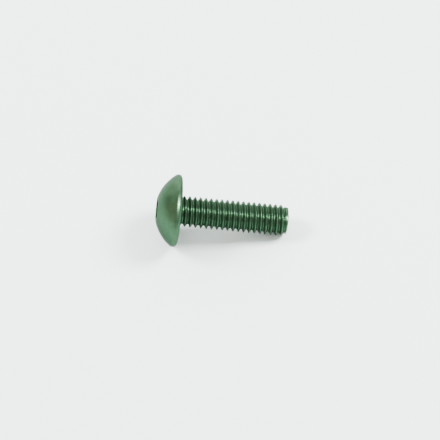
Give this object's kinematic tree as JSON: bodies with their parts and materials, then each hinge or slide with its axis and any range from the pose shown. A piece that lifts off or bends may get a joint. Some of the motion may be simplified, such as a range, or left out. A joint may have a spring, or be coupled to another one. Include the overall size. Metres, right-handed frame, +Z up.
{
  "type": "button head screw",
  "caption": "Button head machine screw with a hexagon socket, a domed round head and a full-length thread, lying on its side.",
  "frame": {"origin": "on the screw's axis, at the centre of the head's bearing face", "axes": "+Z is up, with the screw lying on a level floor; +X is level and runs from the head to the point; the screw's axis falls by 11.35 degrees from +X towards -Z"},
  "size_m": [0.0247, 0.0134, 0.0133],
  "materials": {
    "anodised_aluminium": "green anodised, semi-gloss"
  },
  "bodies": {
    "root": {"screw": "anodised_aluminium"}
  },
  "joints": []
}
